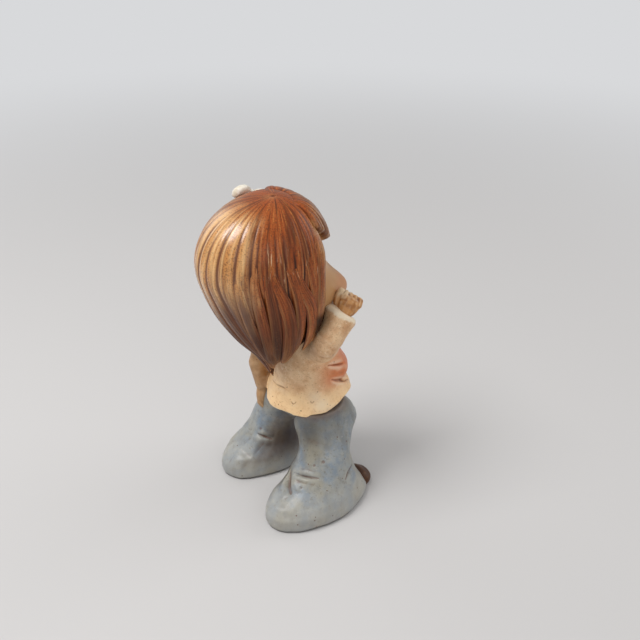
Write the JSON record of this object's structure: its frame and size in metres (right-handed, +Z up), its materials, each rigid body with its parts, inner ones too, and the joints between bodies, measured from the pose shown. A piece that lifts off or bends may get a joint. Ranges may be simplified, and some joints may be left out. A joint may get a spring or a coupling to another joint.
{
  "type": "girl figurine",
  "caption": "Standing slip-cast girl with very long fluted hair, a raised right hand, a sweater with a flared hem and bell-bottom trousers.",
  "frame": {"origin": "on the floor, under the middle of the figure's box", "axes": "+Z up, the figure looks along -Y, her left hand is on +X"},
  "size_m": [0.088, 0.0868, 0.173],
  "materials": {
    "hair": "satin",
    "skin": "satin",
    "sweater": "satin",
    "denim": "satin",
    "shoe": "satin",
    "bow": "gloss"
  },
  "bodies": {
    "root": {"hips": "denim", "right_trouser_leg": "denim", "left_trouser_leg": "denim", "right_shoe": "shoe", "left_shoe": "shoe", "sweater_body": "sweater", "sweater_hem": "sweater", "collar": "sweater", "right_sleeve": "sweater", "left_sleeve": "sweater", "right_cuff": "sweater", "left_cuff": "sweater", "right_hand": "skin", "left_hand": "skin", "neck": "skin", "head": "skin", "back_hair": "hair", "fringe": "hair", "right_side_lock": "hair", "left_side_lock": "hair", "bow_knot": "bow", "bow_back_loop": "bow", "bow_front_loop": "bow"}
  },
  "joints": []
}
